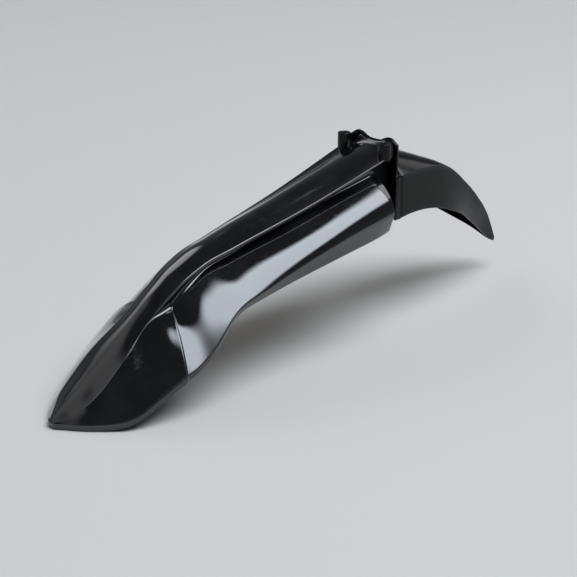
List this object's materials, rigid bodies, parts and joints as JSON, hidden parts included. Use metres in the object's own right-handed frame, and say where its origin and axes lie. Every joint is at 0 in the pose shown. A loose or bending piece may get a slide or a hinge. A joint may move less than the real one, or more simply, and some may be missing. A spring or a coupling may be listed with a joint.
{
  "type": "motorcycle front mudguard",
  "caption": "Long arched front mudguard in gloss black plastic: raised centre plate, recessed flanks, spoon-shaped nose, bolted mount between the fork legs and a short pointed tail.",
  "frame": {"origin": "midway between the tops of the screw bosses", "axes": "+X to the front of the motorcycle, +Y to the rider's left, +Z along the screws, out of the boss tops"},
  "size_m": [0.728, 0.1646, 0.2303],
  "materials": {
    "shell": "gloss black, coloured through, with the polish of the mould"
  },
  "bodies": {
    "root": {"mudguard": "shell"}
  },
  "joints": []
}
